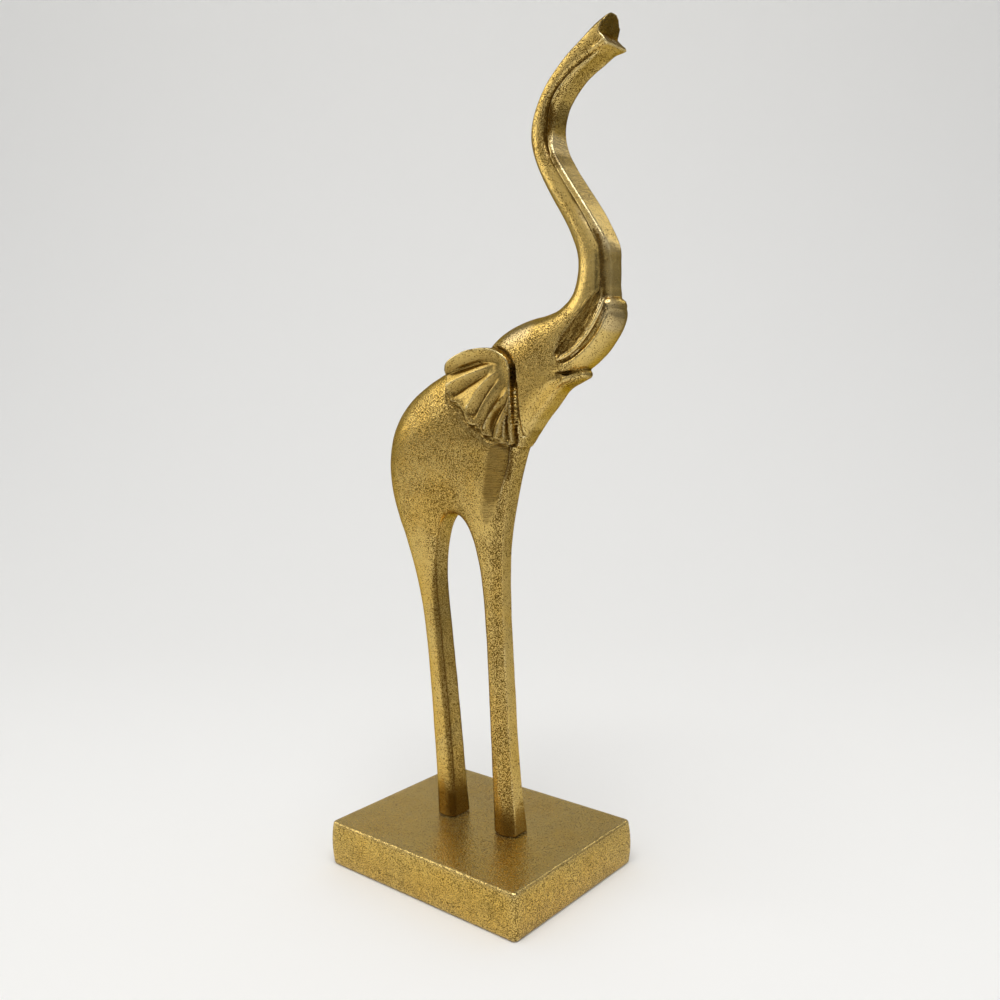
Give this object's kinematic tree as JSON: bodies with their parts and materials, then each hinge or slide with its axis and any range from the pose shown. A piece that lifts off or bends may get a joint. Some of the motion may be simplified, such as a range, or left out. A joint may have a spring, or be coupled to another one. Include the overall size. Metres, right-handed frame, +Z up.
{
  "type": "elephant figurine",
  "caption": "Tall slender elephant figurine in cast gilt metal, raising its trunk, with fused pairs of long legs and pleated fan ears, on a rectangular foot plate.",
  "frame": {"origin": "middle of the foot plate's underside, which lies on z = 0", "axes": "+Z up; +X the way the elephant faces; +Y its left side; the object is the same on both sides of y = 0"},
  "size_m": [0.1606, 0.103, 0.4244],
  "materials": {
    "gilt_cast": "sand-cast aluminium under an antique gold lacquer, pitted flanks and brushed ridges",
    "gilt_plate": "sand-cast aluminium under an antique gold lacquer, semi-gloss"
  },
  "bodies": {
    "root": {"elephant": "gilt_cast", "base": "gilt_plate"}
  },
  "joints": []
}
